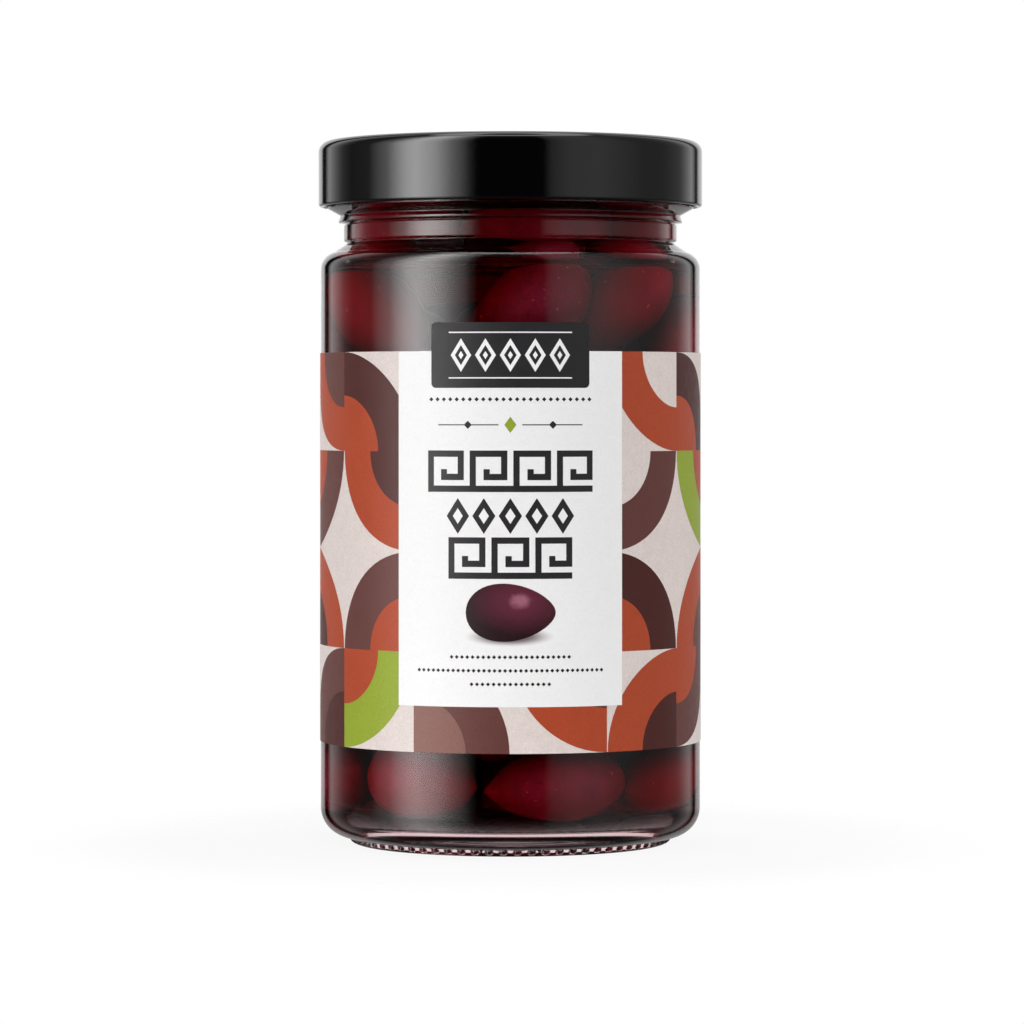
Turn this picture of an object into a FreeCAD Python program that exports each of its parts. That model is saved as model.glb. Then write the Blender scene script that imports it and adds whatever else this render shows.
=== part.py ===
import FreeCAD, Part
import os
import Sketcher

# A jar of olives: a round clear glass jar with a twist-off metal lid, a paper label wrapped round its
# body, and the brine that fills it up to a level under the lid. Millimetres, +Z up, origin at the
# centre of the foot ring's standing plane, front of the label towards -Y.

SIZES = {
    # glass body
    "jar_radius": 36.4,
    "wall": 2.4,
    "foot_low_radius": 29.9,
    "foot_radius": 30.6,
    "foot_height": 1.3,
    "bearing_inner": 28.2,
    "bearing_slope": 1.2,
    "bearing_rise": 1.1,
    "heel_round": 5.5,
    "push_up": 2.9,
    "push_up_radius": 12.0,
    "floor_edge": 4.2,
    "floor_top": 6.6,
    "floor_round": 4.2,
    "shoulder_height": 112.2,
    "shoulder_rise": 1.2,
    "shoulder_round": 3.3,
    # neck, from the shoulder up
    "neck_inner": 29.4,
    "groove_radius": 31.2,
    "groove_top": 114.85,
    "band_radius": 32.0,
    "band_low": 115.3,
    "band_top": 118.25,
    "undercut_radius": 31.3,
    "undercut_height": 118.5,
    "bead_radius": 33.1,
    "bead_height": 118.8,
    "waist_radius": 32.65,
    "waist_height": 120.15,
    "collar_radius": 35.2,
    "collar_low": 121.55,
    "collar_top": 122.0,
    "finish_radius": 33.2,
    "finish_low": 122.5,
    "rim_height": 133.2,
    "rim_round": 1.5,
    "edge_round": 0.3,
    # screw finish and stippled foot
    "lead_radius": 34.5,
    "lead_low": 124.0,
    "lead_top": 125.8,
    "lead_root": 0.4,
    "lead_under_slope": 0.3,
    "lead_over_slope": 0.6,
    "lead_angle": 62.0,
    "lead_count": 4,
    "stipple_radius": 0.8,
    "stipple_ring": 30.0,
    "stipple_height": 0.92,
    "stipple_count": 72,
    # lid
    "lid_radius": 36.85,
    "lid_low": 121.85,
    "lid_top": 134.4,
    "lid_sheet": 0.25,
    "lid_round": 2.1,
    "panel_radius": 30.2,
    "panel_depth": 0.95,
    "panel_slope": 0.9,
    "panel_step": 0.1,
    "curl_depth": 1.1,
    "curl_height": 1.15,
    "curl_round": 0.5,
    "lug_reach": 1.4,
    "lug_low": 122.65,
    "lug_top": 123.4,
    "lug_root": 0.4,
    "lug_under_slope": 0.4,
    "lug_over_slope": 0.6,
    "lug_angle": 15.0,
    "lug_count": 4,
    # label
    "label_gap": 0.02,
    "label_sheet": 0.1,
    "label_low": 19.6,
    "label_high": 93.8,
    "label_wrap": 352.0,
    "tab_top": 99.1,
    "tab_angle": 47.0,
    "tab_round": 0.9,
    # contents
    "brine_gap": 0.02,
    "brine_level": 126.0,
}

FULL_TURN = 360.0
NEAR = 0.01  # how close two places are to count as one


def make_sheet(doc):
    """The driving sizes, one cell for each, named by its alias."""
    sheet = doc.addObject("Spreadsheet::Sheet", "sizes")
    for row, (alias, value) in enumerate(SIZES.items(), start=1):
        cell = f"B{row}"
        sheet.set(f"A{row}", alias)
        sheet.set(cell, str(value))
        sheet.setAlias(cell, alias)
    doc.recompute()
    return sheet


def named(text):
    """An expression on the sheet: each known word in text is looked up in the cells."""
    words = [f"sizes.{word}" if word in SIZES else word for word in text.split()]
    return " ".join(words)


def origin_feature(body, role):
    return next(item for item in body.Origin.OriginFeatures if item.Role == role)


def outline(body, name, plane, corners):
    """A closed sketch with straight sides. Each corner is (across, up), two expressions on the sheet."""
    sketch = body.newObject("Sketcher::SketchObject", name)
    sketch.AttachmentSupport = [(origin_feature(body, plane), "")]
    sketch.MapMode = "FlatFace"
    places = []
    for across, up in corners:
        value_across = float(sketch.evalExpression(named(across)))
        value_up = float(sketch.evalExpression(named(up)))
        places.append(FreeCAD.Vector(value_across, value_up, 0))
    count = len(places)
    for index, start in enumerate(places):
        sketch.addGeometry(Part.LineSegment(start, places[(index + 1) % count]), False)
    for index in range(count):
        sketch.addConstraint(Sketcher.Constraint("Coincident", index, 2, (index + 1) % count, 1))
    for index, (across, up) in enumerate(corners):
        bind(sketch, "DistanceX", index, places[index].x, across, -2)
        bind(sketch, "DistanceY", index, places[index].y, up, -1)
    return sketch


def bind(sketch, kind, index, value, text, axis):
    """Ties the start of line index to its place along one axis, or to the axis itself where it is on it."""
    if value == 0:
        sketch.addConstraint(Sketcher.Constraint("PointOnObject", index, 1, axis))
        return
    number = sketch.addConstraint(Sketcher.Constraint(kind, -1, 1, index, 1, value))
    sketch.setExpression(f"Constraints[{number}]", named(text))


def turn(body, name, sketch, angle=None):
    """Turns the sketch round Z: a whole turn, or angle centred on the sketch's plane."""
    feature = body.newObject("PartDesign::Revolution", name)
    feature.Profile = sketch
    feature.ReferenceAxis = (origin_feature(body, "Z_Axis"), [""])
    if angle is None:
        feature.Angle = FULL_TURN
    else:
        feature.Midplane = True
        feature.setExpression("Angle", named(angle))
    body.Document.recompute()
    return feature


def repeat(body, name, feature, count):
    """Spaces feature evenly round Z."""
    pattern = body.newObject("PartDesign::PolarPattern", name)
    pattern.Originals = [feature]
    pattern.Axis = (origin_feature(body, "Z_Axis"), [""])
    pattern.Angle = FULL_TURN
    pattern.setExpression("Occurrences", named(count))
    body.Tip = pattern
    body.Document.recompute()
    return pattern


def circles_at(feature, places):
    """The names of feature's circular edges round Z that pass through any of the places (radius, height)."""
    found = []
    for number, edge in enumerate(feature.Shape.Edges, start=1):
        point = edge.Vertexes[0].Point
        radius = (point.x**2 + point.y**2) ** 0.5
        is_level_circle = isinstance(edge.Curve, Part.Circle) and abs(edge.Curve.Axis.z) > 1 - NEAR
        if is_level_circle and any(abs(radius - r) < NEAR and abs(point.z - z) < NEAR for r, z in places):
            found.append(f"Edge{number}")
    return found


def round_off(body, name, radius, corners):
    """Rounds the body's circular corners, each given as (radius, height) expressions on the sheet."""
    base = body.Tip
    places = []
    for across, up in corners:
        radius_value = float(base.evalExpression(named(across)))
        height_value = float(base.evalExpression(named(up)))
        places.append((radius_value, height_value))
    edges = circles_at(base, places)
    if len(edges) < len(places):
        raise RuntimeError(f"{name}: {len(edges)} edges found for {len(places)} corners")
    fillet = body.newObject("PartDesign::Fillet", name)
    fillet.Base = (base, edges)
    fillet.setExpression("Radius", named(radius))
    body.Document.recompute()
    return fillet


def new_body(doc, label):
    body = doc.addObject("PartDesign::Body", label)
    body.Label = label
    body.Placement = FreeCAD.Placement()
    return body


# Corners that more than one outline or rounding uses, as (radius, height).
HEEL = ("jar_radius", "foot_height")
SHOULDER = ("jar_radius", "shoulder_height")
NECK_ROOT = ("groove_radius", "shoulder_height + shoulder_rise")
INNER_FLOOR = ("jar_radius - wall", "floor_edge")
FLOOR_DOME = ("push_up_radius", "floor_top")
INNER_SHOULDER = ("jar_radius - wall", "shoulder_height - wall")
INNER_NECK = ("neck_inner", "shoulder_height - wall + shoulder_rise")
RIM_OUTSIDE = ("finish_radius", "rim_height")
RIM_INSIDE = ("neck_inner", "rim_height")


def glass_walls(body):
    """The blown glass: foot, heel, wall, shoulder, neck band, sealing collar and rim, hollow inside."""
    corners = [
        ("0", "push_up"),
        ("push_up_radius", "push_up"),
        ("bearing_inner - bearing_slope", "bearing_rise"),
        ("bearing_inner", "0"),
        ("foot_low_radius", "0"),
        ("foot_radius", "foot_height"),
        HEEL,
        SHOULDER,
        NECK_ROOT,
        ("groove_radius", "groove_top"),
        ("band_radius", "band_low"),
        ("band_radius", "band_top"),
        ("undercut_radius", "undercut_height"),
        ("bead_radius", "bead_height"),
        ("waist_radius", "waist_height"),
        ("collar_radius", "collar_low"),
        ("collar_radius", "collar_top"),
        ("finish_radius", "finish_low"),
        RIM_OUTSIDE,
        RIM_INSIDE,
        INNER_NECK,
        INNER_SHOULDER,
        INNER_FLOOR,
        FLOOR_DOME,
        ("0", "floor_top"),
    ]
    turn(body, "glass_turned", outline(body, "glass_outline", "XZ_Plane", corners))
    round_off(body, "heel_rounding", "heel_round", [HEEL])
    round_off(body, "shoulder_rounding", "shoulder_round", [SHOULDER])
    round_off(body, "floor_rounding", "floor_round", [INNER_FLOOR, INNER_NECK])
    round_off(body, "rim_rounding", "rim_round", [RIM_OUTSIDE, RIM_INSIDE])
    band_edges = [("band_radius", "band_low"), ("band_radius", "band_top"), NECK_ROOT]
    round_off(body, "band_rounding", "edge_round", band_edges)


def glass_jar(doc):
    """The turned glass with its four thread leads and the ring of stipples round its foot."""
    body = new_body(doc, "glass_jar")
    glass_walls(body)

    lead_corners = [
        ("finish_radius - lead_root", "lead_low"),
        ("lead_radius", "lead_low + lead_under_slope"),
        ("lead_radius", "lead_top - lead_over_slope"),
        ("finish_radius - lead_root", "lead_top"),
    ]
    lead = turn(body, "thread_lead", outline(body, "lead_outline", "XZ_Plane", lead_corners), "lead_angle")
    repeat(body, "thread_leads", lead, "lead_count")

    stipple = body.newObject("PartDesign::AdditiveSphere", "stipple")
    stipple.AttachmentSupport = [(origin_feature(body, "XY_Plane"), "")]
    stipple.MapMode = "FlatFace"
    stipple.setExpression("Radius", named("stipple_radius"))
    stipple.setExpression("AttachmentOffset.Base.y", named("-1 * stipple_ring"))
    stipple.setExpression("AttachmentOffset.Base.z", named("stipple_height"))
    doc.recompute()
    repeat(body, "stipple_ring", stipple, "stipple_count")
    return body


def lid(doc):
    """The pressed lid: recessed panel, rounded rim, plain skirt, curled lower edge and turned-in lugs."""
    body = new_body(doc, "lid")
    panel = "lid_top - panel_depth"
    corners = [
        ("0", panel),
        ("panel_radius", panel),
        ("panel_radius + panel_slope", "lid_top"),
        ("lid_radius", "lid_top"),
        ("lid_radius", "lid_low"),
        ("lid_radius - curl_depth", "lid_low"),
        ("lid_radius - curl_depth", "lid_low + curl_height"),
        ("lid_radius - lid_sheet", "lid_low + curl_height"),
        ("lid_radius - lid_sheet", "lid_top - lid_sheet"),
        ("panel_radius + panel_slope + panel_step", "lid_top - lid_sheet"),
        ("panel_radius + panel_step", panel + " - lid_sheet"),
        ("0", panel + " - lid_sheet"),
    ]
    turn(body, "lid_turned", outline(body, "lid_outline", "XZ_Plane", corners))
    round_off(body, "rim_rounding", "lid_round", [corners[3]])
    round_off(body, "rim_inner_rounding", "lid_round - lid_sheet", [corners[8]])
    round_off(body, "curl_rounding", "curl_round", [corners[4], corners[5], corners[6]])
    round_off(body, "panel_rounding", "curl_round", [corners[2]])

    lug_corners = [
        ("lid_radius - curl_depth - lug_reach", "lug_low"),
        ("lid_radius - curl_depth + lug_root", "lug_low - lug_under_slope"),
        ("lid_radius - curl_depth + lug_root", "lug_top - lug_over_slope"),
        ("lid_radius - curl_depth - lug_reach", "lug_top"),
    ]
    lug = turn(body, "lug", outline(body, "lug_outline", "YZ_Plane", lug_corners), "lug_angle")
    repeat(body, "lugs", lug, "lug_count")
    return body


def label(doc):
    """The paper label: a band that almost meets itself at the back, with a raised tab at the front."""
    body = new_body(doc, "label")
    inside = "-1 * jar_radius - label_gap"
    outside = "-1 * jar_radius - label_gap - label_sheet"

    def strip(name, low, high, angle):
        corners = [(outside, low), (inside, low), (inside, high), (outside, high)]
        return turn(body, name, outline(body, name + "_outline", "YZ_Plane", corners), angle)

    tab = strip("tab", "label_low", "tab_top", "tab_angle")
    corner_edges = []
    for number, edge in enumerate(tab.Shape.Edges, start=1):
        at_top = all(abs(vertex.Point.z - SIZES["tab_top"]) < NEAR for vertex in edge.Vertexes)
        if at_top and edge.Length < 2 * SIZES["label_sheet"]:
            corner_edges.append(f"Edge{number}")
    fillet = body.newObject("PartDesign::Fillet", "tab_corners")
    fillet.Base = (tab, corner_edges)
    fillet.setExpression("Radius", named("tab_round"))
    doc.recompute()

    strip("wrap", "label_low", "label_high", "label_wrap")
    return body


def brine(doc):
    """The liquid, out to the glass all round and up to its level in the neck."""
    body = new_body(doc, "brine")
    gap = " - brine_gap"
    side = "jar_radius - wall" + gap
    corners = [
        ("0", "floor_top + brine_gap"),
        ("push_up_radius", "floor_top + brine_gap"),
        (side, "floor_edge + brine_gap"),
        (side, "shoulder_height - wall" + gap),
        ("neck_inner" + gap, "shoulder_height - wall + shoulder_rise" + gap),
        ("neck_inner" + gap, "brine_level"),
        ("0", "brine_level"),
    ]
    turn(body, "brine_turned", outline(body, "brine_outline", "XZ_Plane", corners))
    round_off(body, "brine_rounding", "floor_round", [corners[2], corners[4]])
    return body


def faults(doc):
    """The objects that did not build, by name."""
    found = []
    for item in doc.Objects:
        if "Invalid" in item.State or "Error" in item.State:
            found.append(item.Name)
        elif item.TypeId == "PartDesign::Body" and (item.Shape.isNull() or not item.Shape.isValid()):
            found.append(item.Name)
    return found


def main():
    doc = FreeCAD.newDocument("jar_of_olives")
    make_sheet(doc)
    bodies = [glass_jar(doc), lid(doc), label(doc), brine(doc)]
    doc.recompute()
    broken = faults(doc)
    if broken:
        raise RuntimeError("not built: " + ", ".join(broken))
    os.makedirs("parts", exist_ok=True)
    for body in bodies:
        box = body.Shape.BoundBox
        print(f"{body.Label}: {len(body.Shape.Solids)} solid, {body.Shape.Volume / 1000:.2f} ml, "
              f"z {box.ZMin:.2f} to {box.ZMax:.2f}, across {box.XLength:.2f}")
        body.Shape.exportStep(f"parts/{body.Label}.step")


main()
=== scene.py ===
import math

import bmesh
import bpy
import numpy as np
from bpy.props import FloatProperty, FloatVectorProperty, IntProperty, PointerProperty
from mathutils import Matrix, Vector


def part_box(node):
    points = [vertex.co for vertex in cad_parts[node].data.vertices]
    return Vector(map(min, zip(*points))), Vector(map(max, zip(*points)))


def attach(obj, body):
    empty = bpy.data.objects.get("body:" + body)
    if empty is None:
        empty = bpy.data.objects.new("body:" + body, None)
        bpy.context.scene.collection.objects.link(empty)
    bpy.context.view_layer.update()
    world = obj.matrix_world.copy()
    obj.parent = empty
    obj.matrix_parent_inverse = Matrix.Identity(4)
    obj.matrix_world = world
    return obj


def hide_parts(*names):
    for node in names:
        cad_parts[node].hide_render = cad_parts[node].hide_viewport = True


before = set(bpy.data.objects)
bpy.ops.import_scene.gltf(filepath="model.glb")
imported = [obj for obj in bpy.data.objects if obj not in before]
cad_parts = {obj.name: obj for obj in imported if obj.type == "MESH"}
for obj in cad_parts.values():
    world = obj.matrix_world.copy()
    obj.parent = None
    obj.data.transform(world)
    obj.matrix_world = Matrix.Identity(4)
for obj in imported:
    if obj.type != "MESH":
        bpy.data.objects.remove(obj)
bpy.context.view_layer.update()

bl_info = {
    "name": "Olive Jar",
    "version": (1, 0, 0),
    "blender": (4, 5, 0),
    "location": "3D View > Sidebar > Olive Jar",
    "description": "Builds a glass jar of dark olives in brine, with its lid, printed paper label and stage",
    "category": "Add Mesh",
}

# The jar stands on Z = 0 with its axis on Z, and the middle of its label faces -Y.
BODY = "root"
MM = 0.001
TURN = 2 * math.pi
ARC_STEP = math.radians(6)
SEGMENTS = 360

GLASS_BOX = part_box("glass_jar")
LID_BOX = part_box("lid")
LABEL_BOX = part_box("label")
BRINE_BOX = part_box("brine")


def from_srgb(red, green, blue):
    """A colour for a shader socket, from its usual values of 0 to 255."""
    channels = []
    for value in (red, green, blue):
        share = value / 255
        channels.append(share / 12.92 if share <= 0.04045 else ((share + 0.055) / 1.055) ** 2.4)
    return tuple(channels)


def length_property(name, value, description):
    return FloatProperty(
        name=name, description=description, default=value, min=0.0, unit="LENGTH", precision=5
    )


def colour_property(name, colour, description):
    return FloatVectorProperty(
        name=name, description=description, default=colour, min=0.0, max=1.0, size=3, subtype="COLOR"
    )


class GlassSettings(bpy.types.PropertyGroup):
    """Sizes of the glass jar."""

    wall: length_property("Wall", 2.4 * MM, "Thickness of the glass round the body")
    foot: length_property("Foot", 29.9 * MM, "Radius of the foot where it meets the table")
    heel_round: length_property("Heel rounding", 5.5 * MM, "Rounding between the foot and the wall")
    shoulder: length_property("Shoulder", 112.2 * MM, "Height at which the wall turns in to the neck")
    shoulder_round: length_property("Shoulder rounding", 3.3 * MM, "Rounding of the shoulder")
    neck: length_property("Neck", 31.2 * MM, "Outer radius of the neck at its narrowest")
    mouth: length_property("Mouth", 29.4 * MM, "Inner radius of the neck")
    stipples: IntProperty(name="Stipples", description="Raised dots round the foot", default=72, min=0)


class LidSettings(bpy.types.PropertyGroup):
    """Sizes and colour of the twist-off lid."""

    sheet: length_property("Sheet", 0.25 * MM, "Thickness of the tinplate")
    rim_round: length_property("Rim rounding", 2.1 * MM, "Rounding between the skirt and the top")
    panel: length_property("Panel", 30.2 * MM, "Radius of the sunk panel on top")
    panel_depth: length_property("Panel depth", 0.95 * MM, "How far the panel sits below the rim")
    lacquer: colour_property("Lacquer", (0.0012, 0.0012, 0.0014), "Colour of the lacquer")
    lugs: IntProperty(name="Lugs", description="Turned-in lugs that grip the glass", default=4, min=0)


class LabelSettings(bpy.types.PropertyGroup):
    """Sizes and ink colours of the label."""

    gap_angle: FloatProperty(
        name="Back gap", description="Angle left open at the back", default=math.radians(8), subtype="ANGLE"
    )
    tab_width: length_property("Tab width", 30.0 * MM, "Width of the raised tab")
    tab_rise: length_property("Tab rise", 5.3 * MM, "How far the tab stands above the label")
    panel_width: length_property("Panel width", 44.0 * MM, "Width of the white panel")
    panel_low: length_property("Panel foot", 28.2 * MM, "Height of the white panel's lower edge")
    white: colour_property("White", from_srgb(250, 249, 249), "Ink of the white panel")
    cream: colour_property("Cream", from_srgb(229, 216, 211), "Ground of the pattern")
    terracotta: colour_property("Terracotta", from_srgb(174, 70, 38), "First ink of the pattern")
    brown: colour_property("Brown", from_srgb(98, 57, 52), "Second ink of the pattern")
    pale_brown: colour_property("Pale brown", from_srgb(133, 92, 83), "Lighter brown of the pattern")
    dark_red: colour_property("Dark red", from_srgb(72, 32, 28), "Darkest ink of the pattern")
    green: colour_property("Green", from_srgb(148, 166, 46), "Accent ink of the pattern")
    black: colour_property("Black", from_srgb(36, 35, 37), "Ink of the tab and the ornaments")


class ContentsSettings(bpy.types.PropertyGroup):
    """The brine and the olives sunk in it."""

    count: IntProperty(name="Olives", description="How many olives fill the jar", default=76, min=1)
    length: length_property("Olive length", 25.5 * MM, "Usual length of an olive")
    width: length_property("Olive width", 15.6 * MM, "Usual width of an olive")
    skin: colour_property("Skin", from_srgb(143, 33, 57), "Lighter colour of the olive skin")
    skin_dark: colour_property("Dark skin", from_srgb(74, 13, 30), "Darker colour of the olive skin")
    brine: colour_property("Brine", (0.86, 0.13, 0.29), "What the brine lets through")
    brine_density: FloatProperty(
        name="Brine density", description="How fast light fades in it, per metre", default=430.0, min=0.0
    )


class StageSettings(bpy.types.PropertyGroup):
    """Floor, light and camera."""

    floor: colour_property("Floor", (0.86, 0.86, 0.86), "Colour of the floor")
    light: FloatProperty(name="Light", description="Level of the studio light", default=1.0, min=0.0)
    distance: length_property("Camera distance", 857 * MM, "From the jar's axis to the camera")
    height: length_property("Camera height", 83.7 * MM, "Height of the camera above the table")


# ---------------------------------------------------------------- nodes


# Colour sockets of a mix node: the two that go in and the one that comes out.
MIX_FIRST, MIX_SECOND, MIX_RESULT = 6, 7, 2


class Nodes:
    """A node tree under construction, with short ways to add nodes and join them."""

    def __init__(self, tree):
        self.tree = tree

    def put(self, value, socket):
        """Joins a node's output to the socket, or sets the socket's own value."""
        if isinstance(value, bpy.types.NodeSocket):
            self.tree.links.new(value, socket)
        else:
            socket.default_value = value

    def add(self, kind, inputs=None, **settings):
        node = self.tree.nodes.new(kind)
        for name, value in settings.items():
            setattr(node, name, value)
        for name, value in (inputs or {}).items():
            self.put(value, node.inputs[name])
        return node

    def math(self, operation, first, second=0.0, third=0.0, clamp=False):
        inputs = {0: first, 1: second, 2: third}
        return self.add("ShaderNodeMath", inputs, operation=operation, use_clamp=clamp).outputs[0]

    def noise(self, scale, detail=2.0, roughness=0.5, place=None):
        inputs = {"Scale": scale, "Detail": detail, "Roughness": roughness}
        if place is None:
            place = self.add("ShaderNodeTexCoord").outputs["Object"]
        inputs["Vector"] = place
        return self.add("ShaderNodeTexNoise", inputs).outputs["Fac"]

    def spread(self, value, low, high, to_low, to_high, smooth=False):
        inputs = {"Value": value, "From Min": low, "From Max": high, "To Min": to_low, "To Max": to_high}
        interpolation = "SMOOTHSTEP" if smooth else "LINEAR"
        node = self.add("ShaderNodeMapRange", inputs, interpolation_type=interpolation, clamp=True)
        return node.outputs["Result"]

    def blend(self, share, first, second):
        """A colour that goes from first to second as share goes from 0 to 1."""
        node = self.add("ShaderNodeMix", {"Factor": share}, data_type="RGBA")
        for value, place in ((first, MIX_FIRST), (second, MIX_SECOND)):
            colour = value if isinstance(value, bpy.types.NodeSocket) else (*value, 1.0)
            self.put(colour, node.inputs[place])
        return node.outputs[MIX_RESULT]

    def vector(self, operation, first, second=(0.0, 0.0, 0.0)):
        return self.add("ShaderNodeVectorMath", {0: first, 1: second}, operation=operation).outputs

    def mirrored(self, path):
        """1 for what is seen by plain reflection, and 0 for the rest."""
        return self.math("SUBTRACT", path["Is Glossy Ray"], path["Is Transmission Ray"], clamp=True)

    def bump(self, height, distance, strength=1.0):
        inputs = {"Height": height, "Distance": distance, "Strength": strength}
        return self.add("ShaderNodeBump", inputs).outputs["Normal"]


class Finish(Nodes):
    """A new material with its Principled shader at hand."""

    def __init__(self, name):
        self.material = bpy.data.materials.new(name)
        self.material.use_nodes = True
        super().__init__(self.material.node_tree)
        self.shader = self.tree.nodes["Principled BSDF"]
        self.output = self.tree.nodes["Material Output"]

    def set(self, **values):
        for name, value in values.items():
            self.put(value, self.shader.inputs[name.replace("_", " ")])

    def let_light_through(self, tint):
        """Lamps and bounced light pass straight through, so that what lies behind is lit plainly."""
        path = self.add("ShaderNodeLightPath")
        either = self.math("MAXIMUM", path.outputs["Is Shadow Ray"], path.outputs["Is Diffuse Ray"])
        clear = self.add("ShaderNodeBsdfTransparent", {"Color": (*tint, 1.0)})
        mixed = self.add("ShaderNodeMixShader", {0: either, 1: self.shader.outputs[0], 2: clear.outputs[0]})
        self.put(mixed.outputs[0], self.output.inputs["Surface"])


NO_REFLECTION = (0.0, 0.0, 0.0, 1.0)


def glass_finish(name, reflects):
    """Clear jar glass. Where brine wets it, it bends light but has next to no reflection."""
    finish = Finish(name)
    finish.set(Base_Color=(0.985, 0.99, 0.985, 1.0), Roughness=0.0, IOR=1.5, Transmission_Weight=1.0)
    if not reflects:
        finish.set(Specular_Tint=NO_REFLECTION)
    else:
        waves = finish.noise(42.0, detail=1.0)
        finish.set(Normal=finish.bump(waves, 0.02 * MM))
    finish.let_light_through((0.96, 0.97, 0.96))
    return finish.material


def brine_finish(contents):
    """Dark wine-red clear liquid."""
    finish = Finish("wine_red_brine")
    finish.set(Base_Color=(0.93, 0.80, 0.81, 1.0), Roughness=0.0, IOR=1.34, Transmission_Weight=1.0)
    finish.set(Specular_Tint=NO_REFLECTION)
    finish.let_light_through((1.0, 1.0, 1.0))
    depth = finish.add(
        "ShaderNodeVolumeAbsorption", {"Color": (*contents.brine, 1.0), "Density": contents.brine_density}
    )
    finish.put(depth.outputs[0], finish.output.inputs["Volume"])
    return finish.material


def olive_finish(contents):
    """Satin olive skin, mottled, with each olive a little lighter or darker than the next."""
    finish = Finish("olive_skin")
    tone = finish.add("ShaderNodeAttribute", attribute_name="tone").outputs["Fac"]
    clouds = finish.noise(190.0, detail=3.0, roughness=0.6)
    specks = finish.noise(1500.0, detail=2.0)
    mottle = finish.math("MULTIPLY_ADD", clouds, 0.9, finish.math("MULTIPLY_ADD", specks, 0.35, -0.62))
    share = finish.math("ADD", mottle, tone, clamp=True)
    skin = finish.blend(share, contents.skin, contents.skin_dark)
    marks = finish.spread(finish.noise(880.0, detail=1.0), 0.735, 0.80, 0.0, 0.55)
    skin = finish.blend(marks, skin, from_srgb(206, 96, 112))
    scar = finish.add("ShaderNodeAttribute", attribute_name="scar").outputs["Fac"]
    finish.set(Base_Color=finish.blend(scar, skin, (0.012, 0.004, 0.004)), IOR=1.4)
    finish.set(Roughness=finish.spread(specks, 0.3, 0.7, 0.34, 0.46), Specular_IOR_Level=0.2)
    finish.set(Normal=finish.bump(finish.math("ADD", specks, clouds), 0.02 * MM, 0.45))
    return finish.material


def lacquer_finish(lid):
    """Gloss lacquer on tinplate, with a faint orange peel."""
    finish = Finish("gloss_lacquer")
    peel = finish.noise(700.0, detail=2.0)
    dust = finish.noise(4200.0, detail=1.0)
    finish.set(Base_Color=(*lid.lacquer, 1.0), IOR=1.5)
    finish.set(Roughness=finish.spread(dust, 0.4, 0.8, 0.075, 0.12))
    finish.set(Normal=finish.bump(peel, 0.012 * MM, 0.5))
    return finish.material


def ink_finish(name, colour, speckle=1.0, roughness=0.46):
    """Printed satin paper: a fine speckle in the ink over the tooth of the sheet."""
    finish = Finish(name)
    grain = finish.noise(2300.0, detail=3.0, roughness=0.7)
    fibres = finish.noise(420.0, detail=4.0, roughness=0.65)
    worn = finish.spread(grain, 0.25, 0.75, 1 - 0.12 * speckle, 1 + 0.10 * speckle)
    clouded = finish.spread(fibres, 0.3, 0.7, 1 - 0.04 * speckle, 1 + 0.03 * speckle)
    level = finish.math("MULTIPLY", worn, clouded)
    shade = finish.add("ShaderNodeVectorMath", {0: colour}, operation="SCALE")
    finish.put(level, shade.inputs["Scale"])
    finish.set(Base_Color=shade.outputs[0], Specular_IOR_Level=0.35)
    finish.set(Roughness=finish.spread(fibres, 0.3, 0.7, roughness - 0.05, roughness + 0.06))
    finish.set(Normal=finish.bump(finish.math("ADD", grain, fibres), 0.016 * MM, 0.7))
    return finish.material


def reach_from(finish, centre, size):
    """How far a place on the unrolled label lies from centre, where 1 is half of size away."""
    place = finish.add("ShaderNodeUVMap", uv_map="flat").outputs[0]
    moved = finish.vector("SUBTRACT", place, (*centre, 0.0))[0]
    sized = finish.vector("MULTIPLY", moved, (2 / size[0], 2 / size[1], 0.0))[0]
    return finish.vector("LENGTH", sized)["Value"]


def olive_print_finish(centre, size):
    """A picture in ink of one olive, lit from the upper right: shaded by its place on the flat label."""
    finish = Finish("ink_olive_picture")
    highlight = (centre[0] + 0.12 * size[0], centre[1] + 0.20 * size[1])
    mottle = finish.noise(900.0, detail=3.0)
    reach = finish.math("SUBTRACT", reach_from(finish, highlight, size), 0.11)
    reach = finish.math("MULTIPLY_ADD", mottle, 0.22, reach)
    edge = finish.spread(reach, 0.2, 1.2, 0.0, 1.0)
    body = finish.blend(edge, from_srgb(100, 38, 56), from_srgb(30, 8, 15))
    shine = finish.spread(reach, 0.05, 0.34, 1.0, 0.0, smooth=True)
    finish.set(Base_Color=finish.blend(shine, body, from_srgb(158, 98, 116)))
    finish.set(Roughness=0.45, Specular_IOR_Level=0.35)
    return finish.material


def soft_shadow_finish(label, centre, size):
    """The printed shadow under the olive, fading out into the white of the panel."""
    finish = Finish("ink_soft_shadow")
    fade = finish.spread(reach_from(finish, centre, size), 0.35, 0.98, 0.0, 1.0, smooth=True)
    finish.set(Base_Color=finish.blend(fade, from_srgb(118, 104, 108), label.white))
    finish.set(Roughness=0.46, Specular_IOR_Level=0.35)
    return finish.material


# ---------------------------------------------------------------- shapes


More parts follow.
